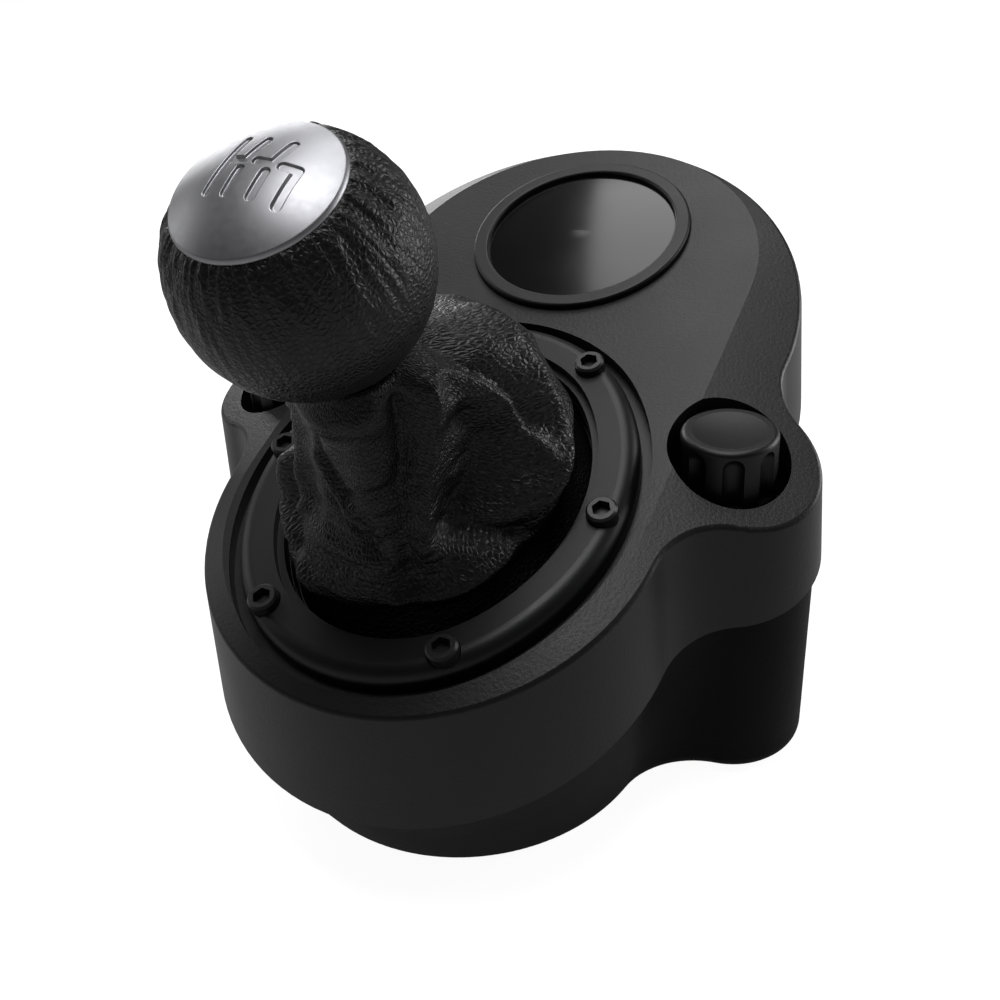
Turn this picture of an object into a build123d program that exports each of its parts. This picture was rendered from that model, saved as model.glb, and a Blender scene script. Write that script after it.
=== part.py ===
from build123d import *
import os
from math import atan2, cos, degrees, hypot, pi, radians, sin, sqrt, tan

# Six-speed H-pattern shifter for a driving simulator. Millimetres, +Z up, +Y away from
# the driver. The origin is on the ground under the middle of the boot ring.

os.makedirs("parts", exist_ok=True)

# Body: a sloping upper shell with front, back and side lobes, on a flat-bottomed tub
deck_slope = 19.6
deck_height = 70.0
front_y = -3.9
front_r = 49.2
ear_x = 54.8
ear_y = 25.0
ear_r = 16.6
back_y = 55.6
back_r = 57.6
front_blend_r = 18.0
back_blend_r = 15.0
skirt_depth = 26.0
skirt_flare = 1.8
shell_wall = 2.4
island_half_width = 45.0
island_back_y = 68.0
ear_fall = 17.0
top_round = 1.2
top_facing = 0.5
cut_over = 60.0
fit_gap = 0.15
soft_gap = 0.4

# Tub under the seam
seam_step = 1.3
base_front_y = 4.0
base_front_r = 42.0
base_ear_y = 27.0
base_ear_r = 16.4
base_back_y = 51.0
base_back_r = 51.5
base_lift = 0.6
base_wall = 2.4
base_floor = 3.6
base_round = 4.0

# Boot ring in its groove
ring_y = -1.1
groove_half_width = 43.3
groove_half_length = 49.2
groove_end_r = 40.0
groove_depth = 3.0
groove_gap = 2.4
ring_band = 12.0
ring_rise = 2.6
ring_round = 3.6
lip_width = 1.5
lip_rise = 0.5
ledge_thick = 3.5

# Hex-socket screws of the ring
screw_head_r = 3.1
screw_head_h = 3.0
screw_head_proud = 1.9
screw_hex = 3.4
screw_hex_deep = 1.9
screw_bevel = 0.45
screw_shank_r = 1.5
screw_length = 12.0
ring_screw_side_x = 36.8
ring_screw_end_x = 19.9
ring_screw_end_y = 36.7

# Round cap on the back of the deck
cap_y = 79.4
cap_bezel_r = 26.2
cap_disc_r = 22.6
cap_bezel_h = 1.6
cap_disc_dome = 1.1
cap_depth = 3.0

# Desk clamps in the ears
clamp_x = 53.6
clamp_y = 23.2
recess_r = 12.3
recess_depth = 14.0
clamp_knob_r = 9.7
clamp_knob_top = 5.0
clamp_flutes = 8
flute_r = 2.4
flute_axis_r = 10.6
grip_h = 9.0
clamp_screw_r = 3.0
clamp_collar_r = 5.5
clamp_collar_h = 1.6
clamp_screw_low = 12.0
run_gap = 0.05
end_play = 0.1
leg_wide = 14.0
leg_deep = 10.0
leg_drop = 12.470147
foot_low = 0.8
foot_h = 6.0
foot_long = 21.5
pad_h = 1.5
well_gap = 0.3
well_wall = 2.0
well_drop = 9.470147

# Stick, measured along its own axis from the pivot
pivot_depth = 21.0
stick_lean = 27.0
stick_r = 5.0
stick_low = 25.0
knob_centre = 89.0
knob_r = 21.6
plate_rim_gap = 0.211424
plate_rim_r = 14.3
plate_dome = 3.6
plate_under = 1.2
collar_r = 7.6
collar_h = 6.0
knob_neck_r = 9.0
leather_thick = 1.2
knob_cant = 9.0
gate_line = 1.3
gate_line_deep = 0.5
gate_lines = (
    ((-4.0, 6.8), (-5.0, -4.2)), ((-4.4, 2.1), (-1.3, 2.1)), ((-0.2, 6.8), (-0.9, 2.1)),
    ((-1.2, 0.2), (-1.4, -4.3)),
    ((0.8, 2.1), (3.5, 2.0)), ((4.4, 6.6), (3.5, 2.0)), ((3.2, 0.2), (3.0, -4.4)),
    ((5.2, 1.8), (7.8, 1.7)),
    ((7.8, 1.7), (7.4, -5.0)),
)

# Boot, from the ring up to the neck; each level has a height and sixteen shares of the
# ring's reach, from the right, over the back and the left, to the front
boot_ways = 16
boot_rise = 42.0
neck_gap = 6.364318
boot_neck_r = 9.3
boot_thick = 1.3
boot_foot = -6.2
boot_fold_shares = [
    (boot_foot, [1] * boot_ways),
    (0.0, [0.88, 0.88, 0.91, 0.93, 0.94, 0.94, 0.93, 0.92, 0.90, 0.88, 0.92, 0.90, 0.86, 0.84, 0.88, 0.86]),
    (5.0, [0.90, 0.93, 0.95, 0.96, 0.97, 0.95, 0.93, 0.90, 0.86, 0.88, 0.86, 0.82, 0.80, 0.76, 0.84, 0.86]),
    (10.0, [0.90, 0.94, 0.96, 0.96, 0.95, 0.92, 0.88, 0.82, 0.80, 0.90, 0.72, 0.72, 0.70, 0.72, 0.72, 0.80]),
    (16.0, [0.74, 0.88, 0.90, 0.86, 0.84, 0.80, 0.76, 0.70, 0.68, 0.66, 0.58, 0.60, 0.60, 0.66, 0.58, 0.62]),
    (22.0, [0.60, 0.74, 0.76, 0.70, 0.66, 0.62, 0.60, 0.56, 0.54, 0.48, 0.47, 0.50, 0.50, 0.55, 0.50, 0.50]),
    (29.0, [0.47, 0.58, 0.56, 0.50, 0.48, 0.46, 0.44, 0.42, 0.40, 0.36, 0.37, 0.38, 0.38, 0.40, 0.42, 0.42]),
    (36.0, [0.36, 0.42, 0.38, 0.34, 0.33, 0.32, 0.32, 0.31, 0.32, 0.29, 0.30, 0.29, 0.29, 0.30, 0.31, 0.33]),
]

# Parts that stay inside
opening_grow = -12.15
ring_boss_r = 3.4
ring_boss_h = 4.6
frame_top = -9.3
frame_plate_h = 2.7
frame_screw_r = 1.5
frame_screw_bite = 2.6
frame_screw_head_r = 2.8
frame_screw_head_h = 1.8
frame_tabs = ((35.0, -13.0), (33.0, 20.0))
frame_ear_r = 5.0
frame_window_x = 23.0
frame_window_y = 22.0
cheek_in = 26.5
cheek_thick = 3.0
cheek_half = 13.0
cheek_low = -49.0
gate_thick = 2.5
gate_half = 11.5
gate_screw_y = 8.0
base_columns = ((39.0, 9.0), (31.0, 80.0))
base_boss_r = 4.6
base_screw_r = 1.5
base_head_r = 2.8
base_head_h = 2.0
base_seat = 8.0
base_screw_length = 19.0
base_screw_bite = 8.0
column_top = 20.0
cap_pin_r = 2.5
cap_pin_h = 5.0
thread_over = 1.0
knob_edge = 1.2
knob_grip = 11.0
dish_wide = 7.5
dish_deep = 0.7
grip_top = 3.6
insert_x = 16.0
insert_y = 30.0
insert_r = 4.0
insert_h = 10.0
insert_bore_r = 2.5
insert_boss_r = 6.5
insert_boss_h = 13.0
pad_wide = 12.0
pad_round = 3.0
pad_thick = 1.2
pad_rows = ((0.0, 44.0), (84.0, 56.0))
board_y = 58.0
board_z = 9.0
board_long = 50.0
board_wide = 34.0
board_thick = 1.6
board_screw_r = 1.2
board_bite = 4.0
board_boss_r = 3.0
board_edge = 4.0
chip = 8.0
chip_x = 6.0
chip_h = 1.2
sensor_gap = 0.3
sensor_post_r = 1.5
sensor_post_y = 5.0
sensor_size = 14.0
sensor_thick = 2.0
sensor_round = 2.0
gland_z = 25.0
gland_r = 4.0
gland_flange_r = 6.0
gland_flange_h = 2.0
gland_hole_r = 2.2
gland_long = 10.0
gland_gap = 0.646187
cap_floor = 1.4
cap_edge = 0.6
cap_disc_set = 0.4
frame_grow = -13.9
frame_wall = 2.2
frame_flange_grow = -10.6
frame_flange_h = 2.0
frame_low = -9.2
frame_lip = -6.7
frame_plate_in = 10.4
foot_in = 9.0
gate_screw_x = 22.0
gate_round = 3.0
tongue_wall = 1.2
tongue_h = 3.0

# Gimbal: a yoke that rocks fore and aft, a rocker that tips sideways in it
yoke_x = 22.0
yoke_y = 17.0
yoke_wall = 5.0
yoke_h = 9.0
yoke_round = 5.0
shaft_r = 3.0
shaft_end = 31.0
bush_r = 4.6
bush_flange_r = 6.0
pin_r = 2.5
pin_bush_r = 4.0
pin_in = 5.4
pin_out = 19.5
hub_r = 4.6
tube_r = 7.5
tube_low = -14.0
tube_high = 24.0
seat_r = 9.5
seat_h = 3.0
spring_low = 10.0
spring_high = 40.0
spring_r = 8.7
spring_wire = 0.6
spring_room = 0.9
spring_turns = 6
spring_plate_r = 10.0
spring_plate_h = 2.4

slope = radians(deck_slope)
lean = radians(stick_lean)
deck = Plane(origin=(0, 0, deck_height), x_dir=(1, 0, 0), z_dir=(0, -sin(slope), cos(slope)))


def on_deck(u, v, w=0.0):
    """A point from its place across, up and above the sloping deck."""
    return deck.from_local_coords(Vector(u, v, w))


def deck_plane(w=0.0, v=0.0, u=0.0):
    """A plane parallel to the deck, w above it, its origin moved across it."""
    return Plane(origin=on_deck(u, v, w), x_dir=deck.x_dir, z_dir=deck.z_dir)


def seam_plane(depth):
    """The deck plane dropped straight down by a depth measured square to it."""
    drop = depth / cos(slope)
    return Plane(origin=(0, 0, deck_height - drop), x_dir=(1, 0, 0), z_dir=deck.z_dir)


def away(centre, radius, *towards):
    """The point of a circle in the mean direction of some points."""
    dx = dy = 0.0
    for x, y in towards:
        reach = hypot(x - centre[0], y - centre[1])
        dx += (x - centre[0]) / reach
        dy += (y - centre[1]) / reach
    reach = hypot(dx, dy)
    return centre[0] + radius * dx / reach, centre[1] + radius * dy / reach


def blend_centre(a, a_r, b, b_r, r, side):
    """Centre of the hollow arc of radius r that touches two round lobes from outside."""
    gap = hypot(b[0] - a[0], b[1] - a[1])
    along = ((a_r + r) ** 2 - (b_r + r) ** 2 + gap ** 2) / (2 * gap)
    off = sqrt((a_r + r) ** 2 - along ** 2)
    ux, uy = (b[0] - a[0]) / gap, (b[1] - a[1]) / gap
    return a[0] + ux * along + side * uy * off, a[1] + uy * along - side * ux * off


def lobed(grow=0.0, fy=front_y, fr=front_r, ey=ear_y, er=ear_r, by=back_y, br=back_r, ex=ear_x):
    """The plan of the body: front, back and two ear lobes joined by hollow arcs."""
    front, ear, back = (0, fy), (ex, ey), (0, by)
    low = blend_centre(front, fr, ear, er, front_blend_r, 1)
    high = blend_centre(ear, er, back, br, back_blend_r, 1)
    a = away(front, fr + grow, low)
    b = away(ear, er + grow, low)
    c = away(ear, er + grow, high)
    d = away(back, br + grow, high)
    arcs = [
        (a, away(low, front_blend_r - grow, a, b), b),
        (b, away(ear, er + grow, b, c), c),
        (c, away(high, back_blend_r - grow, c, d), d),
    ]
    left = [((-s[0], s[1]), (-m[0], m[1]), (-e[0], e[1])) for s, m, e in arcs]
    left = [(e, m, s) for s, m, e in reversed(left)]
    nose = ((-a[0], a[1]), (0, fy - fr - grow), a)
    tail = (d, (0, by + br + grow), (-d[0], d[1]))
    return make_face([ThreePointArc(*points) for points in [nose, *arcs, tail, *left]])


def oval(grow=0.0):
    """The four-arc oval that the groove, the ring and the boot opening share."""
    end = groove_half_length - groove_end_r
    flat = groove_half_width - groove_end_r
    side = (end ** 2 - flat ** 2) / (2 * flat)
    side_r = side + groove_half_width
    ux, uy = side / hypot(side, end), end / hypot(side, end)
    x = (groove_end_r + grow) * ux
    y = end + (groove_end_r + grow) * uy
    wide = side_r + grow - side
    tall = groove_half_length + grow
    return make_face([
        ThreePointArc((x, -y), (wide, 0), (x, y)),
        ThreePointArc((x, y), (0, tall), (-x, y)),
        ThreePointArc((-x, y), (-wide, 0), (-x, -y)),
        ThreePointArc((-x, -y), (0, -tall), (x, -y)),
    ])


def oval_prism(grow, low, high):
    """A solid of the ring's oval between two heights over the deck."""
    return extrude(deck_plane(low, ring_y) * oval(grow), high - low)


def island(grow=0.0):
    """The flat middle of the deck: a long slot form from the ring to the cap."""
    length = island_back_y - front_y
    slot = SlotCenterToCenter(length, 2 * (island_half_width + grow), rotation=90)
    return Pos(0, front_y + length / 2) * slot


def disc(plane, radius, height, hole=0.0):
    """A round boss, or with a hole a washer, standing on a plane."""
    body = extrude(plane * Circle(radius), height)
    if hole:
        body -= extrude(plane * Circle(hole), height)
    return body


def crown(drop=0.0):
    """Everything under the deck's surface: flat on the island, falling off outside it."""
    spread = 2 * ear_r + ear_x - island_half_width
    fall = spread * tan(radians(ear_fall))
    top = loft([deck_plane(-drop) * island(), deck_plane(-drop - fall) * island(spread)], ruled=True)
    return top + extrude(deck_plane(-drop - fall) * island(spread), -2 * cut_over)


def straight_skirt(grow):
    """The outer or inner side of the upper shell, flared down to the seam."""
    reach = deck_height - skirt_depth
    flare = skirt_flare / skirt_depth
    high = seam_plane(-reach) * lobed(grow - flare * reach)
    low = seam_plane(skirt_depth) * lobed(grow + skirt_flare)
    return loft([low, high], ruled=True)


def screw(plane, head_r, head_h, shank_r, length, hexagon, deep):
    """A hex-socket cap screw; the plane is under its head and looks out along it."""
    head = disc(plane, head_r, head_h)
    rim = head.edges().filter_by(GeomType.CIRCLE).sort_by(Axis(plane.origin, plane.z_dir))[-1]
    head = chamfer(rim, screw_bevel)
    socket = extrude(plane.offset(head_h) * RegularPolygon(hexagon / 2, 6, major_radius=False), -deep)
    return head - socket + disc(Plane(plane.origin, plane.x_dir, -plane.z_dir), shank_r, length)


def group(pieces):
    return Compound(children=list(pieces))


def save(node, shape):
    export_step(shape, f"parts/{node}.step")


# Places shared by several pieces
frame_places = [(a * x, y) for a in (1, -1) for x, y in frame_tabs]
base_places = [(a * x, y) for a in (1, -1) for x, y in base_columns]
board_places = [
    (a * (board_long / 2 - board_edge), board_y + b * (board_wide / 2 - board_edge))
    for a in (1, -1) for b in (1, -1)
]
pivot = on_deck(0, 0, -pivot_depth)
stick = Plane(origin=pivot, x_dir=(1, 0, 0), z_dir=(0, -sin(lean), cos(lean)))
ring_inner = -ring_band
ring_base = -groove_depth
ring_spots = [
    (ring_screw_side_x, 0),
    (ring_screw_end_x, ring_screw_end_y),
    (ring_screw_end_x, -ring_screw_end_y),
]
ring_places = [(side * x, y) for x, y in ring_spots for side in (1, -1)]
screw_seat = ring_rise + screw_head_proud - screw_head_h
ledge_under = ring_base - ledge_thick
ear_drop = (clamp_x - island_half_width) * tan(radians(ear_fall)) / cos(slope)
clamp_surface = deck_height + clamp_y * tan(slope) - ear_drop
recess_floor = clamp_surface - recess_depth
leg_top = recess_floor - leg_drop
well_top = recess_floor - well_drop
knob_low = knob_centre - sqrt(knob_r ** 2 - knob_neck_r ** 2)
boot_neck = knob_low - neck_gap
plate_rim_height = sqrt(knob_r ** 2 - plate_rim_r ** 2) + plate_rim_gap
core_high = plate_rim_height - plate_under

# Upper shell
outer = straight_skirt(0) & crown()
seen = {}
for face in outer.faces():
    if face.normal_at().Z > top_facing:
        for edge in face.edges():
            seen.setdefault(tuple(round(n, 2) for n in edge @ 0.5), []).append(edge)
outer = fillet([edges[0] for edges in seen.values() if len(edges) == 1], top_round)
inner = straight_skirt(-shell_wall) & crown(shell_wall)
upper_shell = outer - inner
upper_shell += oval_prism(shell_wall, ledge_under, -shell_wall / 2) & outer
cap_plane = deck_plane(0, cap_y)
seat_low = -cap_depth - shell_wall
upper_shell += disc(cap_plane.offset(seat_low), cap_bezel_r + shell_wall, shell_wall * 2) & outer
for side in (1, -1):
    floor = Plane(origin=(side * clamp_x, clamp_y, recess_floor - shell_wall))
    upper_shell += disc(floor, recess_r + shell_wall, cut_over) & outer
for u, v in ring_places:
    boss = deck_plane(ledge_under - ring_boss_h, ring_y + v, u)
    upper_shell += disc(boss, ring_boss_r, ring_boss_h)
for u, v in frame_places:
    boss = deck_plane(frame_top, ring_y + v, u)
    upper_shell += disc(boss, ring_boss_r, ledge_under - frame_top)
for x, y in base_places:
    post = disc(Plane(origin=(x, y, column_top)), base_boss_r, 2 * cut_over) & crown()
    upper_shell += post - oval_prism(0, ring_base, cut_over)
upper_shell -= oval_prism(0, ring_base, cut_over)
upper_shell -= oval_prism(opening_grow, ledge_under - shell_wall, cut_over)
upper_shell -= disc(cap_plane.offset(-cap_depth), cap_bezel_r + fit_gap, cut_over)
for side in (1, -1):
    floor = Plane(origin=(side * clamp_x, clamp_y, recess_floor - shell_wall))
    upper_shell -= disc(floor.offset(shell_wall), recess_r, cut_over)
    upper_shell -= disc(floor, clamp_screw_r + fit_gap, cut_over)
for u, v in ring_places:
    upper_shell -= disc(deck_plane(screw_seat - screw_length, ring_y + v, u), screw_shank_r, screw_length)
for u, v in frame_places:
    upper_shell -= disc(deck_plane(frame_top, ring_y + v, u), frame_screw_r, frame_screw_bite)
for x, y in base_places:
    upper_shell -= disc(Plane(origin=(x, y, column_top)), base_screw_r, base_screw_bite)
upper_shell -= disc(cap_plane.offset(seat_low), cap_pin_r, cap_depth + shell_wall)
save("upper_shell", upper_shell)

# Tub under the seam, with the columns, wells and bosses that it carries
tub_seam = seam_plane(skirt_depth)
ground = dict(fy=base_front_y, fr=base_front_r, ey=base_ear_y, er=base_ear_r, by=base_back_y, br=base_back_r)
tub_form = loft([
    Plane.XY.offset(base_lift) * lobed(0, **ground),
    tub_seam * lobed(skirt_flare - seam_step),
], ruled=True)
tub_form = fillet(tub_form.edges().group_by(Axis.Z)[0], base_round)
hollow = loft([
    Plane.XY.offset(base_floor) * lobed(-base_wall, **ground),
    tub_seam * lobed(skirt_flare - seam_step - base_wall),
], ruled=True)
tongue = straight_skirt(-shell_wall - fit_gap) - straight_skirt(-shell_wall - fit_gap - tongue_wall)
tongue &= loft([
    tub_seam * lobed(skirt_flare), seam_plane(skirt_depth - tongue_h) * lobed(skirt_flare),
], ruled=True)
lower_shell = tub_form - hollow + tongue
well_floor = foot_low + foot_h + pad_h + end_play
for side in (1, -1):
    foot_room = Pos(side * clamp_x, clamp_y - leg_deep / 2 - well_gap, 0) * Box(
        leg_wide + 2 * well_gap, foot_long + 2 * well_gap, well_floor + well_gap,
        align=(Align.CENTER, Align.MIN, Align.MIN))
    foot_house = Pos(side * clamp_x, clamp_y - leg_deep / 2 - well_gap - well_wall, 0) * Box(
        leg_wide + 2 * (well_gap + well_wall), foot_long + 2 * (well_gap + well_wall),
        well_floor + well_gap + well_wall, align=(Align.CENTER, Align.MIN, Align.MIN))
    well = Pos(side * clamp_x, clamp_y, 0) * Box(
        leg_wide + 2 * (well_gap + well_wall), leg_deep + 2 * (well_gap + well_wall), well_top,
        align=(Align.CENTER, Align.CENTER, Align.MIN))
    shaft_room = Pos(side * clamp_x, clamp_y, 0) * Box(
        leg_wide + 2 * well_gap, leg_deep + 2 * well_gap, cut_over,
        align=(Align.CENTER, Align.CENTER, Align.MIN))
    lower_shell += foot_house & tub_form
    lower_shell += well & (tub_form + outer)
    lower_shell -= foot_room
    lower_shell -= shaft_room
for x, y in base_places:
    lower_shell += disc(Plane(origin=(x, y, base_floor / 2)), base_boss_r, column_top - base_floor / 2)
    lower_shell -= disc(Plane(origin=(x, y, 0)), base_head_r + fit_gap, base_seat)
    lower_shell -= disc(Plane(origin=(x, y, 0)), base_screw_r + fit_gap, cut_over)
for x, y in board_places:
    lower_shell += disc(Plane(origin=(x, y, base_floor / 2)), board_boss_r, board_z - base_floor / 2)
    lower_shell -= disc(Plane(origin=(x, y, board_z - board_bite)), board_screw_r, board_bite)
for side in (1, -1):
    stand = Plane(origin=(side * insert_x, insert_y, base_lift))
    lower_shell += disc(stand, insert_boss_r, insert_boss_h)
    lower_shell -= disc(stand, insert_r, insert_h)
foot_y = base_back_y + base_back_r
seam_back = back_y + back_r + skirt_flare - seam_step
wall_high = deck_height - skirt_depth / cos(slope) + seam_back * sin(slope) - base_lift
wall_lean = (seam_back * cos(slope) - foot_y) / wall_high
gland_y = foot_y + wall_lean * (gland_z + gland_flange_r - base_lift)
gland_out = gland_flange_h + gland_gap
rear = Plane(origin=(0, gland_y, gland_z), z_dir=(0, 1, 0))
lower_shell -= disc(rear.offset(-gland_long), gland_r, 2 * gland_long)
for y, long in pad_rows:
    lower_shell -= extrude(Pos(0, y, 0) * RectangleRounded(long, pad_wide, pad_round), pad_thick)
save("lower_shell", lower_shell)

# Ring that holds the boot down, with its six screws
boot_ring = oval_prism(-groove_gap, ring_base, ring_rise)
boot_ring = fillet(boot_ring.edges().sort_by(Axis(deck.origin, deck.z_dir))[-4:], ring_round)
boot_ring -= oval_prism(ring_inner, ring_base, cut_over)
boot_ring -= oval_prism(ring_inner + lip_width, lip_rise, cut_over)
for u, v in ring_places:
    boot_ring -= disc(deck_plane(screw_seat, ring_y + v, u), screw_head_r + fit_gap, cut_over)
    boot_ring -= disc(deck_plane(ring_base, ring_y + v, u), screw_shank_r + fit_gap, cut_over)
save("boot_ring", boot_ring)
save("ring_screws", group(
    screw(deck_plane(screw_seat, ring_y + v, u), screw_head_r, screw_head_h, screw_shank_r,
          screw_length, screw_hex, screw_hex_deep)
    for u, v in ring_places))

# Cap on the back of the deck: a bezel with a domed blank disc
bezel = disc(cap_plane.offset(-cap_depth), cap_bezel_r, cap_depth + cap_bezel_h, cap_disc_r)
bezel += disc(cap_plane.offset(-cap_depth), cap_bezel_r, cap_floor)
bezel_top = bezel.edges().filter_by(GeomType.CIRCLE).sort_by(Axis(cap_plane.origin, deck.z_dir))[-2:]
bezel = fillet(bezel_top, cap_edge)
bezel += disc(cap_plane.offset(-cap_depth - cap_pin_h), cap_pin_r, cap_pin_h)
save("cap_bezel", bezel)
cap_low = cap_plane.offset(cap_floor - cap_depth)
cap_side = cap_depth - cap_floor + cap_disc_set
dome_r = (cap_disc_r ** 2 + cap_disc_dome ** 2) / (2 * cap_disc_dome)
dome = cap_low.offset(cap_side + cap_disc_dome - dome_r).location * Sphere(dome_r)
save("cap_disc", disc(cap_low, cap_disc_r, cap_side + cap_disc_dome) & dome)


# Boot: one closed skin of leather whose folds come from the shares of each level
def oval_reach(angle, grow):
    """How far the ring's oval reaches from its centre in a direction."""
    end = groove_half_length - groove_end_r
    flat = groove_half_width - groove_end_r
    side = (end ** 2 - flat ** 2) / (2 * flat)
    end_r, side_r = groove_end_r + grow, side + groove_half_width + grow
    c, s = abs(cos(angle)), abs(sin(angle))
    tip = end * s + sqrt(end_r ** 2 - (end * c) ** 2)
    if tip * s >= end + end_r * end / hypot(side, end):
        return tip
    return sqrt(side_r ** 2 - (side * s) ** 2) - side * c


def boot_level(height, shares, thin):
    """One level of the boot as a closed run of eight arcs through sixteen points."""
    share = height / boot_rise
    foot, neck = on_deck(0, ring_y, 0), stick.from_local_coords(Vector(0, 0, boot_neck))
    lean_here = slope + (lean - slope) * share
    middle = foot + (neck - foot) * share
    plane = Plane(origin=middle, x_dir=(1, 0, 0), z_dir=(0, -sin(lean_here), cos(lean_here)))
    if height <= 0:
        plane = deck_plane(height, ring_y)
    turn = 2 * pi / boot_ways
    points = []
    for k in range(boot_ways):
        far = oval_reach(k * turn, opening_grow - soft_gap) * shares[k] if shares else boot_neck_r
        points.append(((far - thin) * cos(k * turn), (far - thin) * sin(k * turn)))
    points.append(points[0])
    return plane * make_face([ThreePointArc(*points[k:k + 3]) for k in range(0, boot_ways, 2)])


def boot_form(thin):
    """The boot's outer form, or with a thickness taken off, its inside."""
    levels = [boot_level(h, shares, thin) for h, shares in boot_fold_shares]
    return loft([*levels, boot_level(boot_rise, None, thin)], ruled=True)


save("boot", boot_form(0) - boot_form(boot_thick))

# Frame that holds the boot's foot from inside
boot_frame = oval_prism(frame_grow, frame_low, frame_lip)
boot_frame += oval_prism(frame_flange_grow, frame_low, frame_low + frame_flange_h)
boot_frame -= oval_prism(frame_grow - frame_wall, frame_low, cut_over)
save("boot_frame", boot_frame)

# Frame that carries the gimbal, hung from the bosses under the deck
gimbal_frame = oval_prism(-frame_plate_in, frame_top - frame_plate_h, frame_top)
for u, v in frame_places:
    gimbal_frame += disc(deck_plane(frame_top - frame_plate_h, ring_y + v, u), frame_ear_r, frame_plate_h)
window = deck_plane(frame_top - frame_plate_h) * Rectangle(2 * frame_window_x, 2 * frame_window_y)
gimbal_frame -= extrude(window, frame_plate_h)
cheek_h = frame_top - cheek_low
for side in (1, -1):
    middle = side * (cheek_in + cheek_thick / 2)
    sheet = deck_plane(cheek_low, 0, middle) * Rectangle(cheek_thick, 2 * cheek_half)
    gimbal_frame += extrude(sheet, cheek_h)
    bore = Plane(origin=pivot, z_dir=(side, 0, 0))
    gimbal_frame -= disc(bore.offset(cheek_in), bush_r, cheek_thick)
    foot = deck_plane(cheek_low, 0, side * (cheek_in - foot_in / 2)) * Rectangle(foot_in, 2 * cheek_half)
    gimbal_frame += extrude(foot, cheek_thick)
    for v in (gate_screw_y, -gate_screw_y):
        gimbal_frame -= disc(deck_plane(cheek_low, v, side * gate_screw_x), frame_screw_r, cheek_thick)
for u, v in frame_places:
    hole = deck_plane(frame_top - frame_plate_h, ring_y + v, u)
    gimbal_frame -= disc(hole, frame_screw_r + fit_gap, frame_plate_h)
for v in (sensor_post_y, -sensor_post_y):
    post = Plane(origin=on_deck(cheek_in + cheek_thick, v, -pivot_depth), z_dir=(1, 0, 0))
    gimbal_frame += disc(post, sensor_post_r, shaft_end + sensor_gap - cheek_in - cheek_thick)
save("gimbal_frame", gimbal_frame)


def pan_screw(plane, shank_r, length):
    """A pan-head screw; the plane is under its head and looks out along it."""
    head = disc(plane, frame_screw_head_r, frame_screw_head_h)
    head -= extrude(plane.offset(frame_screw_head_h) * RegularPolygon(shank_r, 6), -frame_screw_head_h / 2)
    return head + disc(Plane(plane.origin, plane.x_dir, -plane.z_dir), shank_r, length)


def under(w, v, u):
    """A plane parallel to the deck that looks down, for what is screwed up to it."""
    return Plane(origin=on_deck(u, v, w), x_dir=deck.x_dir, z_dir=-deck.z_dir)


save("frame_screws", group(
    pan_screw(
        under(frame_top - frame_plate_h, ring_y + v, u), frame_screw_r, frame_plate_h + frame_screw_bite)
    for u, v in frame_places))

# Gate plate, which bounds the sweep of the stick's lower end
gate = extrude(deck_plane(cheek_low - gate_thick) * Rectangle(2 * cheek_in, 2 * cheek_half), gate_thick)
gate_window = RectangleRounded(2 * gate_half, 2 * gate_half, gate_round)
gate -= extrude(deck_plane(cheek_low - gate_thick) * gate_window, gate_thick)
gate_places = [(a * gate_screw_x, b * gate_screw_y) for a in (1, -1) for b in (1, -1)]
for u, v in gate_places:
    gate -= disc(deck_plane(cheek_low - gate_thick, v, u), frame_screw_r + fit_gap, gate_thick)
save("gate_plate", gate)
save("gate_screws", group(
    pan_screw(under(cheek_low - gate_thick, v, u), frame_screw_r, gate_thick + cheek_thick)
    for u, v in gate_places))

# Yoke that rocks fore and aft on two shafts in flanged bushes
yoke_box = extrude(stick.offset(-yoke_h / 2) * RectangleRounded(2 * yoke_x, 2 * yoke_y, yoke_round), yoke_h)
yoke_room = extrude(
    stick.offset(-yoke_h / 2) * Rectangle(2 * (yoke_x - yoke_wall), 2 * (yoke_y - yoke_wall)), yoke_h)
shift_yoke = yoke_box - yoke_room
across = Plane(origin=pivot, z_dir=(1, 0, 0))
along = Plane(origin=pivot, x_dir=(1, 0, 0), z_dir=stick.y_dir)
shafts, bushes, pins, pin_bushes = [], [], [], []
for side in (1, -1):
    out = Plane(origin=pivot, z_dir=(side, 0, 0))
    fore = Plane(origin=pivot, x_dir=(1, 0, 0), z_dir=stick.y_dir * side)
    shift_yoke -= disc(out.offset(yoke_x - yoke_wall), shaft_r, yoke_wall)
    shift_yoke -= disc(fore.offset(yoke_y - yoke_wall), pin_bush_r, yoke_wall)
    shafts.append(disc(out.offset(yoke_x - yoke_wall), shaft_r, shaft_end - yoke_x + yoke_wall))
    bush = disc(out.offset(cheek_in), bush_r, cheek_thick)
    bush += disc(out.offset(yoke_x + end_play), bush_flange_r, cheek_in - yoke_x - end_play)
    bushes.append(bush - disc(out, shaft_r + run_gap, shaft_end))
    pins.append(disc(fore.offset(pin_in), pin_r, pin_out - pin_in))
    pin_bushes.append(disc(fore.offset(yoke_y - yoke_wall), pin_bush_r, yoke_wall, pin_r + run_gap))
save("shift_yoke", shift_yoke)
save("shift_shafts", group(shafts))
save("shift_bushes", group(bushes))
save("select_pins", group(pins))
save("select_bushes", group(pin_bushes))

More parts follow.
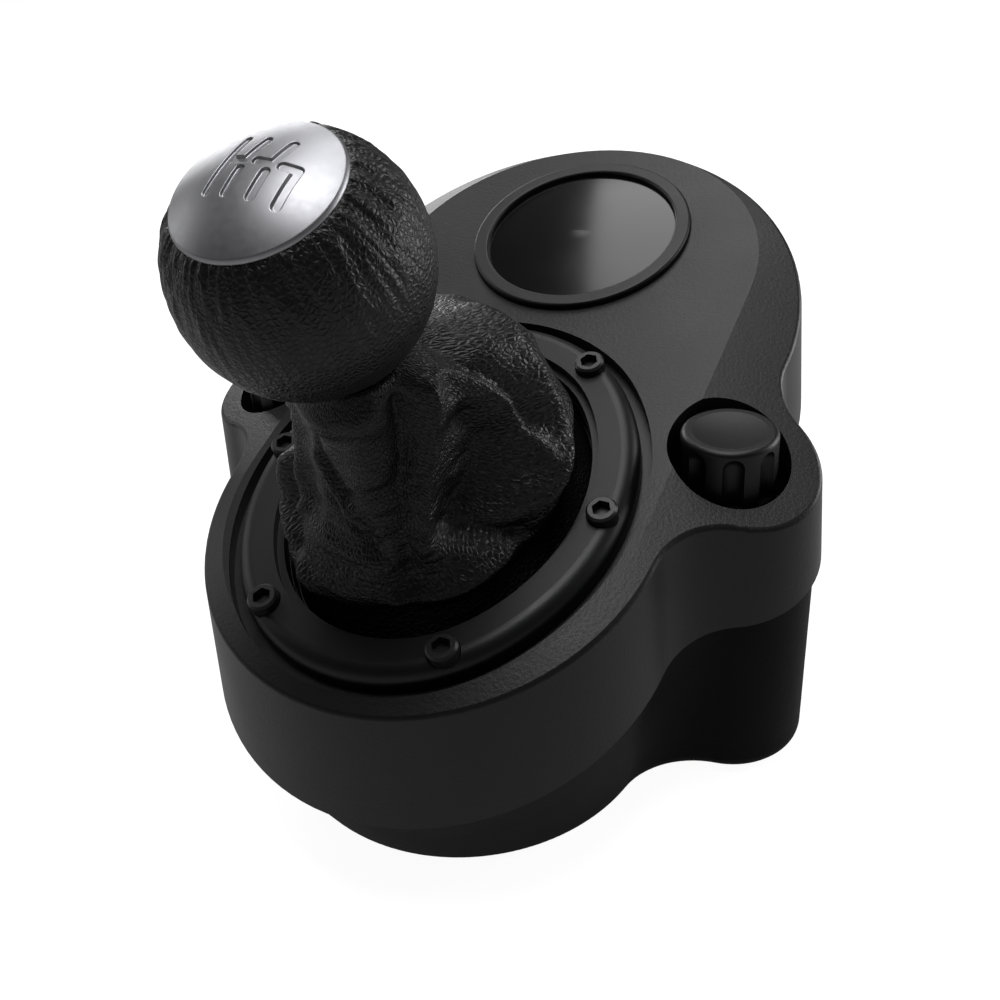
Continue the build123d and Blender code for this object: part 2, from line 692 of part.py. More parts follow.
# Rocker: the tube that the stick slides in, with its hubs and the spring's seat
stick_tube = disc(stick.offset(tube_low), tube_r, tube_high - tube_low)
for side in (1, -1):
    fore = Plane(origin=pivot, x_dir=(1, 0, 0), z_dir=stick.y_dir * side)
    stick_tube += disc(fore, hub_r, yoke_y - yoke_wall - end_play)
stick_tube += disc(stick.offset(spring_low - seat_h), seat_r, seat_h)
stick_tube -= disc(stick.offset(tube_low), stick_r + run_gap, cut_over)
for side in (1, -1):
    fore = Plane(origin=pivot, x_dir=(1, 0, 0), z_dir=stick.y_dir * side)
    stick_tube -= disc(fore.offset(pin_in), pin_r, cut_over)
save("stick_tube", stick_tube)

# Stick, its spring collar and the spring that lifts it
stick_rod = disc(stick.offset(-stick_low), stick_r, stick_low + knob_centre)
save("stick_rod", stick_rod)
save("spring_collar", disc(stick.offset(spring_high), spring_plate_r, spring_plate_h, stick_r))
rise = spring_high - spring_low - 2 * spring_room
coil = Helix(pitch=rise / spring_turns, height=rise, radius=spring_r)
wire = Plane(origin=coil @ 0, x_dir=(1, 0, 0), z_dir=coil % 0) * Rectangle(2 * spring_wire, 2 * spring_wire)
save("push_spring", stick.offset(spring_low + spring_room).location * sweep(wire, path=coil))

# Collar that holds the neck of the boot
save("boot_collar", disc(stick.offset(boot_neck - collar_h / 2), collar_r, collar_h, stick_r))

# Knob: a ball canted on the stick, its leather, and the domed plate with the gear pattern
cant = radians(knob_cant)
ball_frame = Plane(
    origin=stick.offset(knob_centre).origin, x_dir=(1, 0, 0), z_dir=(0, -sin(lean + cant), cos(lean + cant)))
heart = ball_frame.location * Sphere(knob_r - leather_thick)
above_neck = disc(stick.offset(knob_low), knob_r, 2 * knob_r)
seat = disc(ball_frame.offset(core_high), plate_rim_r, knob_r)
knob_leather = (ball_frame.location * Sphere(knob_r) & above_neck) - heart - seat
knob_leather -= disc(ball_frame.offset(plate_rim_height), knob_r, knob_r)
save("knob_leather", knob_leather)
knob_core = (heart & above_neck) - disc(ball_frame.offset(core_high), knob_r, knob_r)
knob_core -= disc(stick.offset(knob_low), stick_r, knob_centre - knob_low)
save("knob_core", knob_core)
plate_r = (plate_rim_r ** 2 + plate_dome ** 2) / (2 * plate_dome)
plate_middle = ball_frame.offset(plate_rim_height + plate_dome - plate_r).location
knob_plate = plate_middle * Sphere(plate_r) & seat
pattern = group(
    extrude(ball_frame.offset(core_high) * Pos((x1 + x2) / 2, (y1 + y2) / 2) * SlotCenterToCenter(
        hypot(x2 - x1, y2 - y1), gate_line, rotation=degrees(atan2(y2 - y1, x2 - x1))), knob_r)
    for (x1, y1), (x2, y2) in gate_lines)
for bar in pattern.solids():
    knob_plate -= bar - plate_middle * Sphere(plate_r - gate_line_deep)
save("knob_plate", knob_plate)

# Desk clamps: a fluted knob on its screw in each ear, and a jaw that the screw drives
for side, name in ((-1, "left"), (1, "right")):
    rest = Plane(origin=(side * clamp_x, clamp_y, recess_floor + end_play))
    knob_h = clamp_surface + clamp_knob_top - recess_floor - end_play
    knob = disc(rest, clamp_knob_r, knob_h)
    knob = fillet(knob.edges().filter_by(GeomType.CIRCLE).sort_by(Axis.Z)[-1], knob_edge)
    dish_r = (dish_wide ** 2 + dish_deep ** 2) / (2 * dish_deep)
    knob -= Plane(origin=rest.offset(knob_h + dish_r - dish_deep).origin).location * Sphere(dish_r)
    flute = disc(rest.offset(knob_h - grip_top - grip_h), flute_r, grip_h)
    flute += Plane(origin=rest.offset(knob_h - grip_top).origin).location * Sphere(flute_r)
    for k in range(clamp_flutes):
        knob -= Pos(rest.origin) * Rot(0, 0, 360 * (k + 0.5) / clamp_flutes) * Pos(flute_axis_r, 0, 0) * Pos(
            -rest.origin) * flute
    knob -= disc(rest, clamp_screw_r, knob_grip)
    save(f"clamp_knob_{name}", knob)
    low = Plane(origin=(side * clamp_x, clamp_y, clamp_screw_low))
    spindle = disc(low, clamp_screw_r, recess_floor + end_play + knob_grip - clamp_screw_low)
    collar = Plane(origin=(side * clamp_x, clamp_y, recess_floor - shell_wall - end_play - clamp_collar_h))
    save(f"clamp_screw_{name}", spindle + disc(collar, clamp_collar_r, clamp_collar_h))
    corner = (Align.CENTER, Align.MIN, Align.MIN)
    heel = Pos(side * clamp_x, clamp_y - leg_deep / 2, foot_low)
    leg = heel * Box(leg_wide, leg_deep, leg_top - foot_low, align=corner)
    leg += heel * Box(leg_wide, foot_long, foot_h, align=corner)
    leg -= disc(Plane(origin=low.origin - Vector(0, 0, thread_over)), clamp_screw_r + run_gap, cut_over)
    save(f"clamp_jaw_{name}", leg)
    pad_y = clamp_y + leg_deep / 2 + well_wall
    save(f"clamp_pad_{name}", Pos(side * clamp_x, pad_y, foot_low + foot_h) * Box(
        leg_wide - well_wall, clamp_y - leg_deep / 2 + foot_long - pad_y, pad_h - end_play, align=corner))

# Screws that hold the shells together, inserts for a rig and the pads it stands on
save("base_screws", group(
    disc(Plane(origin=(x, y, base_seat - base_head_h)), base_head_r, base_head_h)
    - extrude(
        Plane(origin=(x, y, base_seat - base_head_h)) * RegularPolygon(base_screw_r, 6), base_head_h / 2)
    + disc(Plane(origin=(x, y, base_seat)), base_screw_r, base_screw_length)
    for x, y in base_places))
save("mount_inserts", group(
    disc(Plane(origin=(a * insert_x, insert_y, base_lift)), insert_r, insert_h, insert_bore_r)
    for a in (1, -1)))
save("base_pads", group(
    extrude(Pos(0, y, 0) * RectangleRounded(long, pad_wide, pad_round), pad_thick) for y, long in pad_rows))

# Circuit board on its bosses, the shift axis's sensor and the cord's gland
resting = (Align.CENTER, Align.CENTER, Align.MIN)
board = Pos(0, board_y, board_z) * Box(board_long, board_wide, board_thick, align=resting)
board += Pos(chip_x, board_y, board_z + board_thick) * Box(chip, chip, chip_h, align=resting)
for x, y in board_places:
    board -= disc(Plane(origin=(x, y, board_z)), board_screw_r + fit_gap, board_thick)
save("circuit_board", board)
save("board_screws", group(
    pan_screw(Plane(origin=(x, y, board_z + board_thick)), board_screw_r, board_thick + board_bite)
    for x, y in board_places))
hall = Plane(origin=pivot, x_dir=(0, 1, 0), z_dir=(1, 0, 0)).offset(shaft_end + sensor_gap)
shift_sensor = extrude(hall * RectangleRounded(sensor_size, sensor_size, sensor_round), sensor_thick)
save("shift_sensor", shift_sensor)
gland = disc(rear.offset(gland_out - gland_long), gland_r, gland_long)
gland += disc(rear.offset(gland_out - gland_flange_h), gland_flange_r, gland_flange_h)
save("cable_gland", gland - disc(rear.offset(gland_out - gland_long), gland_hole_r, gland_long))
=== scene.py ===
import bpy
import bmesh
from math import cos, degrees, exp, hypot, pi, radians, sin, sqrt, tau
from mathutils import Matrix, Vector, noise


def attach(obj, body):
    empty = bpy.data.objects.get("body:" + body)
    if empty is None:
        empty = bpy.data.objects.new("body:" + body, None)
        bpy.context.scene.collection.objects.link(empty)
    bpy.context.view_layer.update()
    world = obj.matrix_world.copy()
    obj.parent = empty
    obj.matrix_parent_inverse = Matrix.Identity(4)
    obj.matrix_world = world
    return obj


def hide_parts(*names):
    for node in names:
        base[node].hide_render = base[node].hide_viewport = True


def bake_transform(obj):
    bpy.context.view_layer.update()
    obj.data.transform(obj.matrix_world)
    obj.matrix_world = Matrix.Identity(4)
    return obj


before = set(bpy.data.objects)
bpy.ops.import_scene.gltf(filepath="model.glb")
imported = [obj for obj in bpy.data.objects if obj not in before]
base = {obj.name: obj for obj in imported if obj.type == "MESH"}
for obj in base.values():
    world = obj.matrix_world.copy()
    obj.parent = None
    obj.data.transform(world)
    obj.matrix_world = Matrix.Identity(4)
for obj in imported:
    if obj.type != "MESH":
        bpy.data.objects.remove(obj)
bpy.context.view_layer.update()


# The photographer's table: a white sweep, seen from above and to the driver's right.
# The lens and place come from the ovals in the photograph. Places are in metres.
scene = bpy.context.scene
scene.view_settings.view_transform = "Standard"

lens_mm = 42.09
sensor_mm = 36
deck_height = 0.070
camera_data = bpy.data.cameras.new("studio_camera")
camera_data.lens = lens_mm
camera_data.sensor_width = sensor_mm
camera_data.clip_start = 0.01
camera = bpy.data.objects.new("studio_camera", camera_data)
scene.collection.objects.link(camera)
camera_right = Vector((0.8914, 0.4485, -0.0663))
camera_up = Vector((-0.1912, 0.5046, 0.842))
camera_back = camera_right.cross(camera_up).normalized()
camera_up = camera_back.cross(camera_right).normalized()
camera_place = Vector((0.1104, -0.1736, deck_height + 0.1249))
camera_turn = Matrix((camera_right.normalized(), camera_up, camera_back)).transposed()
camera.matrix_world = Matrix.Translation(camera_place) @ camera_turn.to_4x4()
scene.camera = camera


def linear(code):
    """An sRGB hex colour as the linear values that a shader takes."""
    parts = [int(code[k:k + 2], 16) / 255 for k in (1, 3, 5)]
    return [p / 12.92 if p <= 0.04045 else ((p + 0.055) / 1.055) ** 2.4 for p in parts] + [1]


def node(tree, kind, settings=None, links=None):
    """Adds one shader node, sets its fields and sockets, and links its inputs."""
    made = tree.nodes.new("ShaderNode" + kind)
    for key, value in (settings or {}).items():
        if isinstance(key, str) and hasattr(made, key):
            setattr(made, key, value)
        else:
            made.inputs[key].default_value = value
    for key, source in (links or {}).items():
        tree.links.new(source, made.inputs[key])
    return made


def material(name):
    """An empty node material and its tree, ready for a finish."""
    made = bpy.data.materials.new(name)
    made.use_nodes = True
    made.node_tree.nodes.clear()
    return made, made.node_tree


# The sweep itself: matte paper that takes the shadow. Only the camera, and reflections at
# a quarter of the strength, see it lit to white, so it throws no extra light on the object.
sweep_grey = "#8C8C8C"
light_white = "#FFFFFF"
sweep_half_width = 30
sweep_glow = 0.95
sweep_in_gloss = 0.25
paper_finish, tree = material("white_sweep_paper")
paper = node(tree, "BsdfDiffuse", {"Color": linear(sweep_grey)})
glow = node(tree, "Emission", {"Color": linear(light_white), "Strength": sweep_glow})
ray = node(tree, "LightPath")
shown = node(tree, "Math", {"operation": "MULTIPLY_ADD", 1: sweep_in_gloss},
             {0: ray.outputs["Is Glossy Ray"], 2: ray.outputs["Is Camera Ray"]})
lit = node(tree, "AddShader", {}, {0: paper.outputs[0], 1: glow.outputs[0]})
mixed = node(tree, "MixShader", {}, {0: shown.outputs[0], 1: paper.outputs[0], 2: lit.outputs[0]})
node(tree, "OutputMaterial", {}, {"Surface": mixed.outputs[0]})
sweep_mesh = bpy.data.meshes.new("sweep")
sheet = bmesh.new()
bmesh.ops.create_grid(sheet, x_segments=1, y_segments=1, size=sweep_half_width)
sheet.to_mesh(sweep_mesh)
sheet.free()
sweep_mesh.materials.append(paper_finish)
sweep = bpy.data.objects.new("sweep", sweep_mesh)
scene.collection.objects.link(sweep)

# The room round the table gives a faint even light, and the camera sees it as white
room_light = 0.07
room = bpy.data.worlds.new("studio")
room.use_nodes = True
tree = room.node_tree
tree.nodes.clear()
soft = node(tree, "Background", {"Color": linear(light_white), "Strength": room_light})
white = node(tree, "Background", {"Color": linear(light_white), "Strength": 1})
ray = node(tree, "LightPath")
mixed = node(tree, "MixShader", {},
             {0: ray.outputs["Is Camera Ray"], 1: soft.outputs[0], 2: white.outputs[0]})
node(tree, "OutputWorld", {}, {"Surface": mixed.outputs[0]})
scene.world = room

# Five softboxes stand above, behind and to the sides at a plain level, so that the black
# surfaces show their edges by reflection and the folds stay dark towards the camera.
softbox_aim = Vector((0, 0.01, deck_height))
softbox_high = 0.5


def softbox(name, place, width, watts):
    """A soft rectangular studio lamp that looks at the ring of the boot."""
    data = bpy.data.lights.new(name, "AREA")
    data.shape = "RECTANGLE"
    data.size = width
    data.size_y = softbox_high
    data.energy = watts
    made = bpy.data.objects.new(name, data)
    scene.collection.objects.link(made)
    made.location = place
    made.rotation_euler = (softbox_aim - Vector(place)).to_track_quat("-Z", "Y").to_euler()


softbox("top_softbox", place=(0, 0, 1.07), width=0.5, watts=4.8)
softbox("back_softbox", place=(-0.1, 0.55, 0.9), width=0.5, watts=2.4)
softbox("left_softbox", place=(-0.95, -0.05, 0.4), width=0.4, watts=0.9)
softbox("left_back_softbox", place=(-0.7, 0.65, 0.37), width=0.5, watts=3.4)
softbox("right_back_softbox", place=(0.7, 0.7, 0.27), width=0.5, watts=4.2)


# Shells: two ABS mouldings, screwed together from below. The tool's spark-eroded grit
# leaves the upper one a matte, slightly speckled charcoal. The tub and the clamps' jaws are
# duller, and their colour is painted blacker than the plastic as painted shade under the deck.
def gritted(name, colour, grit_mm, rough, bump, level=0.5):
    """A moulded or coated surface, each grain of its grit drawn at a size in millimetres."""
    grit_high_mm = 0.2
    cloud_mm = 16.7
    sheen_range = 0.05
    made, tree = material(name)
    place = node(tree, "TexCoord")
    grain = node(tree, "TexNoise", {"Scale": 1000 / grit_mm, "Detail": 3, "Roughness": 0.6},
                 {"Vector": place.outputs["Object"]})
    cloud = node(tree, "TexNoise", {"Scale": 1000 / cloud_mm, "Detail": 2},
                 {"Vector": place.outputs["Object"]})
    tone = node(tree, "MapRange", {"To Min": 0.85, "To Max": 1.15}, {"Value": grain.outputs["Fac"]})
    tint = node(tree, "Mix", {"data_type": "RGBA", "blend_type": "MULTIPLY", 0: 1, 6: linear(colour)},
                {7: tone.outputs[0]})
    gloss = node(tree, "MapRange", {"To Min": rough - sheen_range, "To Max": rough + sheen_range},
                 {"Value": cloud.outputs["Fac"]})
    raised = node(tree, "Bump", {"Strength": bump, "Distance": grit_high_mm / 1000},
                  {"Height": grain.outputs["Fac"]})
    body = node(tree, "BsdfPrincipled", {"IOR": 1.52, "Specular IOR Level": level},
                {"Base Color": tint.outputs[2], "Roughness": gloss.outputs[0], "Normal": raised.outputs[0]})
    node(tree, "OutputMaterial", {}, {"Surface": body.outputs[0]})
    return made


def finish_nodes(finish, *names):
    """Gives frame nodes a finish in every material slot."""
    for name in names:
        for slot in base[name].material_slots:
            slot.material = finish


charcoal_abs = gritted("charcoal_abs_spark_texture", "#19191B", grit_mm=0.7, rough=0.4, bump=0.3, level=0.35)
# The tub's and jaws' near-black colour is painted shade, darker than their own plastic.
black_abs_painted_shade = gritted("black_abs_painted_shade_spark_texture", "#060606", grit_mm=0.7, rough=0.6, bump=0.3, level=0.1)
finish_nodes(charcoal_abs, "upper_shell")
finish_nodes(black_abs_painted_shade, "lower_shell", "clamp_jaw_left", "clamp_jaw_right")


# Gimbal, boot frame, collar and knob core: mouldings of glass-filled nylon, which looks
# dull and a little grey. The gimbal hangs under the deck on screws and rocks on bushes of
# white acetal, which look smooth and waxy.
black_nylon = gritted("black_glass_filled_nylon", "#1E1E20", grit_mm=0.6, rough=0.5, bump=0.2)
white_acetal = gritted("white_acetal", "#D8D7D0", grit_mm=0.5, rough=0.4, bump=0.1)
finish_nodes(black_nylon, "gimbal_frame", "boot_frame", "stick_tube", "shift_yoke", "boot_collar",
             "knob_core")
finish_nodes(white_acetal, "shift_bushes", "select_bushes")


# Steel and brass: the rod, shafts, pins, spring, gate and screws are bare steel, and the
# threaded inserts under the tub are turned brass. Their tool marks are too fine to show, so
# they are drawn a millimetre apart, as a slight change of sheen.
def turned(name, colour, rough):
    """Bare turned metal with its tool marks in the sheen."""
    mark_mm = 1.11
    made, tree = material(name)
    place = node(tree, "TexCoord")
    marks = node(tree, "TexNoise", {"Scale": 1000 / mark_mm, "Detail": 2},
                 {"Vector": place.outputs["Object"]})
    gloss = node(tree, "MapRange", {"To Min": rough - 0.06, "To Max": rough + 0.08},
                 {"Value": marks.outputs["Fac"]})
    body = node(tree, "BsdfPrincipled", {"Base Color": linear(colour), "Metallic": 1},
                {"Roughness": gloss.outputs[0]})
    node(tree, "OutputMaterial", {}, {"Surface": body.outputs[0]})
    return made


steel = turned("turned_steel", "#B9B9BC", rough=0.3)
brass = turned("turned_brass", "#C9A55A", rough=0.3)
finish_nodes(steel, "stick_rod", "push_spring", "spring_collar", "shift_shafts", "select_pins",
             "frame_screws", "gate_plate", "gate_screws", "board_screws", "clamp_screw_left",
             "clamp_screw_right", "base_screws")
finish_nodes(brass, "mount_inserts")


# Boards, pads and gland: glass-fibre boards under a green solder mask, which looks even and
# half glossy, and moulded rubber, which looks dull and soft, pressed onto what carries it.
solder_mask = gritted("green_solder_mask", "#1B5A38", grit_mm=0.4, rough=0.35, bump=0.1)
black_rubber = gritted("black_rubber", "#151515", grit_mm=0.4, rough=0.8, bump=0.3, level=0.3)
finish_nodes(solder_mask, "circuit_board", "shift_sensor")
finish_nodes(black_rubber, "base_pads", "clamp_pad_left", "clamp_pad_right", "cable_gland")


# Ring, round cap and clamp knobs: ABS from a finer tool, which gives their edges soft
# highlights. The disc in the cap's bezel is polished acrylic and mirrors the room, and the
# ring's six screws have a black oxide, smoother than the plastic round them.
satin_abs = gritted("black_abs_satin", "#0D0D0E", grit_mm=0.5, rough=0.42, bump=0.1, level=0.35)
gloss_acrylic = gritted("gloss_black_acrylic", "#050505", grit_mm=2.0, rough=0.16, bump=0)
black_oxide = gritted("black_oxide_steel", "#1A1A1B", grit_mm=0.6, rough=0.35, bump=0.08, level=0.6)
finish_nodes(satin_abs, "boot_ring", "cap_bezel", "clamp_knob_left", "clamp_knob_right")
finish_nodes(gloss_acrylic, "cap_disc")
finish_nodes(black_oxide, "ring_screws")


# Boot: one hide sewn into a sleeve, its foot clamped under the ring and its neck tied to
# the collar under the knob. The stick leans back, so slack leather rolls up behind it.
def hide(name, colour, patch_mm, pebble_mm, rough, bump, veins_raised=False):
    """Full-grain leather, dyed black: pebbles that shine between dull veins, laid out in UV,
    where one unit is a patch of the hide."""
    vein_deep_mm = 0.18
    grain = patch_mm / pebble_mm
    made, tree = material(name)
    place = node(tree, "UVMap", {"uv_map": "grain"})
    wander = node(tree, "TexNoise", {"Scale": grain / 3, "Detail": 2}, {"Vector": place.outputs["UV"]})
    shifted = node(tree, "VectorMath", {"operation": "MULTIPLY_ADD", 1: (1 / grain,) * 3},
                   {0: wander.outputs["Color"], 2: place.outputs["UV"]})
    pebbles = node(tree, "TexVoronoi", {"feature": "DISTANCE_TO_EDGE", "Scale": grain},
                   {"Vector": shifted.outputs[0]})
    fine = node(tree, "TexNoise", {"Scale": grain * 2, "Detail": 4}, {"Vector": place.outputs["UV"]})
    edge = node(tree, "MapRange", {"From Max": 0.3, "interpolation_type": "SMOOTHSTEP"},
                {"Value": pebbles.outputs["Distance"]})
    height = node(tree, "Math", {"operation": "MULTIPLY_ADD", 1: 0.5},
                  {0: fine.outputs["Fac"], 2: edge.outputs[0]})
    raised = node(tree, "Bump", {"Strength": bump, "Distance": vein_deep_mm / 1000, "invert": veins_raised},
                  {"Height": height.outputs[0]})
    tone = node(tree, "MapRange", {"To Min": 0.55, "To Max": 1.1}, {"Value": edge.outputs[0]})
    tint = node(tree, "Mix", {"data_type": "RGBA", "blend_type": "MULTIPLY", 0: 1, 6: linear(colour)},
                {7: tone.outputs[0]})
    gloss = node(tree, "MapRange", {"To Min": rough + 0.15, "To Max": rough}, {"Value": edge.outputs[0]})
    body = node(tree, "BsdfPrincipled", {"IOR": 1.5, "Specular IOR Level": 0.4},
                {"Base Color": tint.outputs[2], "Roughness": gloss.outputs[0], "Normal": raised.outputs[0]})
    node(tree, "OutputMaterial", {}, {"Surface": body.outputs[0]})
    return made


def round_skin(name, columns, rows, spot, patches, finish):
    """A flat grid rolled round an axis by spot(turn, share) and sewn shut along its seam."""
    seam_gap = 1e-7
    skin = bmesh.new()
    grain = skin.loops.layers.uv.new("grain")
    row_mark = skin.verts.layers.int.new("row")
    bmesh.ops.create_grid(skin, x_segments=columns, y_segments=rows, size=0.5)
    for face in skin.faces:
        face.smooth = True
        for loop in face.loops:
            flat = loop.vert.co
            loop[grain].uv = ((flat.x + 0.5) * patches[0], (flat.y + 0.5) * patches[1])
    for corner in skin.verts:
        column = round((corner.co.x + 0.5) * columns) % columns
        row = round((corner.co.y + 0.5) * rows)
        corner[row_mark] = row
        corner.co = spot(tau * column / columns, row / rows)
    bmesh.ops.remove_doubles(skin, verts=skin.verts, dist=seam_gap)
    bmesh.ops.recalc_face_normals(skin, faces=skin.faces)
    mesh = bpy.data.meshes.new(name)
    skin.to_mesh(mesh)
    skin.free()
    mesh.materials.append(finish)
    made = bpy.data.objects.new(name, mesh)
    scene.collection.objects.link(made)
    return made


def ripple(turn, along, rounds, per_mm):
    """Smooth random waves over a round skin, between -1 and 1."""
    return noise.noise(Vector((rounds * cos(turn), rounds * sin(turn), along * per_mm)))


# Lengths from here on are in millimetres. Heights go up the boot from the deck's surface,
# and turns go round it from the driver's right.
pivot_depth = 21.0
slope = radians(19.6)
lean = radians(27.0)
ring_y = -1.1
oval_half_width = 43.3
oval_half_length = 49.2
oval_end_r = 40.0
oval_grow = -12.55
boot_neck = 63.0
boot_neck_r = 9.3
boot_tuck_r = 13.0
boot_rise = 42.0
boot_top = 46.0
boot_foot = -6.2
boot_thick = 1.2
fold_ways = 16
# Folds as (height, sixteen shares of the opening's reach, from the driver's right and round
# by the back)
fold_shares = [
    (boot_foot, [1] * fold_ways),
    (0.0, [0.88, 0.88, 0.91, 0.93, 0.94, 0.94, 0.93, 0.92, 0.90, 0.90, 0.94, 0.92, 0.88, 0.86, 0.88, 0.86]),
    (5.0, [0.88, 0.88, 0.92, 0.94, 0.95, 0.95, 0.93, 0.90, 0.87, 0.88, 0.92, 0.88, 0.85, 0.80, 0.84, 0.86]),
    (10.0, [0.90, 0.90, 0.93, 0.95, 0.95, 0.94, 0.90, 0.84, 0.82, 0.88, 0.82, 0.76, 0.74, 0.74, 0.76, 0.82]),
    (16.0, [0.80, 0.89, 0.91, 0.92, 0.92, 0.89, 0.82, 0.74, 0.72, 0.84, 0.62, 0.62, 0.62, 0.68, 0.62, 0.64]),
    (22.0, [0.68, 0.87, 0.88, 0.88, 0.87, 0.83, 0.74, 0.65, 0.62, 0.64, 0.54, 0.53, 0.54, 0.60, 0.54, 0.56]),
    (29.0, [0.62, 0.78, 0.81, 0.79, 0.76, 0.72, 0.64, 0.56, 0.53, 0.54, 0.46, 0.44, 0.46, 0.50, 0.50, 0.50]),
    (36.0, [0.54, 0.62, 0.66, 0.64, 0.60, 0.56, 0.52, 0.47, 0.45, 0.46, 0.40, 0.38, 0.38, 0.40, 0.43, 0.46]),
]
# Creases as (depth, width, [(turn in degrees, height), ...]); a negative depth is a ridge
creases = [
    (-2.6, 2.6, [(60, 36), (44, 32), (34, 27), (28, 20), (22, 15.5), (10, 12), (-6, 8.5), (-18, 4)]),
    (3.2, 2.4, [(40, 41), (24, 36.5), (24, 31), (20, 26), (18, 21)]),
    (-1.6, 1.8, [(8, 43), (14, 39.5), (18, 33.5), (15, 27), (12, 19), (8, 14.5)]),
    (-3.0, 2.4, [(-4, 44), (-10, 39.5), (-26, 33), (-46, 24.5), (-58, 15)]),
    (3.0, 3.0, [(-30, 42), (-42, 35), (-60, 26), (-66, 17), (-70, 10)]),
    (4.2, 4.0, [(2, 30), (0, 24.5), (-16, 18), (-34, 15.5)]),
    (3.0, 2.2, [(-50, 15), (-42, 12), (-28, 8.5), (-15, 4)]),
    (-1.8, 2.4, [(-75, 4), (-66, 3), (-50, 4.5), (-32, 4)]),
    (-2.2, 1.6, [(204, 42), (204, 32), (210, 21.5), (226, 14)]),
    (3.4, 1.6, [(198, 22), (210, 16), (222, 11), (236, 8)]),
    (-2.0, 1.8, [(200, 17), (214, 9), (238, 7), (250, 2)]),
    (1.8, 1.6, [(236, 34), (250, 29), (266, 26)]),
    (1.6, 1.5, [(240, 26), (262, 19), (280, 15)]),
    (-1.4, 1.6, [(238, 30), (258, 24), (276, 20)]),
    (2.2, 2.4, [(120, 20), (95, 14), (70, 11)]),
    (-1.8, 2.2, [(130, 28), (105, 22), (80, 19)]),
    (2.4, 2.2, [(150, 34), (160, 24), (172, 13)]),
]
crease_sharpness = 1.5
# The rucks fade out over a band at the foot and at the neck, where the leather is held
held_foot = 0.5
fade_band = 4.0
full_ruck_r = 30.0
ruck_swell = 1.4
crest_swell = 1.2
crest_level = 0.35
wrinkle_swell = 0.35
deck_side = Vector((1, 0, 0))
deck_up = Vector((0, -sin(slope), cos(slope)))
deck_back = Vector((0, cos(slope), sin(slope)))
stick_up = Vector((0, -sin(lean), cos(lean)))
deck_middle = Vector((0, 0, deck_height * 1000))
pivot = deck_middle - deck_up * pivot_depth
boot_root = deck_middle + deck_back * ring_y
boot_tip = pivot + stick_up * boot_neck


def oval_reach(turn):
    """How far the boot's opening reaches from its middle in a direction."""
    end = oval_half_length - oval_end_r
    flat = oval_half_width - oval_end_r
    side = (end ** 2 - flat ** 2) / (2 * flat)
    end_r = oval_end_r + oval_grow
    side_r = side + oval_half_width + oval_grow
    c, s = abs(cos(turn)), abs(sin(turn))
    tip = end * s + sqrt(end_r ** 2 - (end * c) ** 2)
    if tip * s >= end + end_r * end / hypot(side, end):
        return tip
    return sqrt(side_r ** 2 - (side * s) ** 2) - side * c


def eased(values, spots, at):
    """A smooth curve through values at rising spots."""
    k = max(i for i in range(len(spots) - 1) if spots[i] <= at or i == 0)
    low, high = max(k - 1, 0), min(k + 2, len(spots) - 1)
    gap = spots[k + 1] - spots[k]
    t = (at - spots[k]) / gap
    slope_a = (values[k + 1] - values[low]) / (spots[k + 1] - spots[low]) * gap
    slope_b = (values[high] - values[k]) / (spots[high] - spots[k]) * gap
    from_a = (2 * t ** 3 - 3 * t ** 2 + 1) * values[k] + (t ** 3 - 2 * t ** 2 + t) * slope_a
    from_b = (3 * t ** 2 - 2 * t ** 3) * values[k + 1] + (t ** 3 - t ** 2) * slope_b
    return from_a + from_b


def share_round(shares, turn):
    """The share at a turn, from shares laid evenly round the boot."""
    at = (turn / tau * fold_ways) % fold_ways
    k = int(at)
    near = [shares[(k + j) % fold_ways] for j in (-1, 0, 1, 2)]
    return eased(near, [-1, 0, 1, 2], at - k)


def crease_depth(turn, height, reach):
    """How far the creases press the leather in at a place."""
    total = 0
    for depth, width, run in creases:
        near = []
        for (turn_a, height_a), (turn_b, height_b) in zip(run, run[1:]):
            x = radians((degrees(turn) - turn_a + 180) % 360 - 180) * reach
            y = height - height_a
            dx = radians(turn_b - turn_a) * reach
            dy = height_b - height_a
            k = min(max((x * dx + y * dy) / (dx * dx + dy * dy), 0), 1)
            near.append(hypot(x - k * dx, y - k * dy))
        total += depth * exp(-(min(near) / width) ** crease_sharpness)
    return total


def boot_spot(turn, share):
    """A point of the boot's outside, in metres, from its turn and its share of the height."""
    height = boot_foot + (boot_top - boot_foot) * share
    spots = [h for h, _ in fold_shares] + [boot_rise, boot_top]
    reach = oval_reach(turn)
    ends = [boot_tuck_r / reach, boot_neck_r / reach]
    far = eased([share_round(shares, turn) for _, shares in fold_shares] + ends, spots, height) * reach
    off_foot = min(max((height - held_foot) / fade_band, 0), 1)
    off_neck = min(max((boot_top - height) / fade_band, 0), 1)
    free = off_foot * off_neck
    rucks = ruck_swell * ripple(turn, height, rounds=2, per_mm=0.2)
    rucks += crest_swell * (crest_level - abs(ripple(turn, height + 30, rounds=2.6, per_mm=0.3)))
    rucks += wrinkle_swell * ripple(turn, height, rounds=5, per_mm=1.1)
    far += free * (rucks * far / full_ruck_r - crease_depth(turn, height, far))
    part = max(height / boot_rise, 0)
    tilt = slope + (lean - slope) * part
    middle = boot_root + (boot_tip - boot_root) * part + deck_up * min(height, 0)
    rearward = Vector((0, cos(tilt), sin(tilt)))
    return (middle + deck_side * far * cos(turn) + rearward * far * sin(turn)) / 1000


boot_rows = 104
boot_leather = hide("black_full_grain_leather", "#0C0C0C", patch_mm=69, pebble_mm=1.15, rough=0.33, bump=0.6)
sleeve = round_skin("sleeve", 256, boot_rows, boot_spot, (3, 1), boot_leather)
wall = sleeve.modifiers.new("leather_wall", "SOLIDIFY")
wall.thickness = boot_thick / 1000
wall.offset = -1
sleeve_mesh = bpy.data.meshes.new_from_object(sleeve.evaluated_get(bpy.context.evaluated_depsgraph_get()))
bpy.data.objects.remove(sleeve)


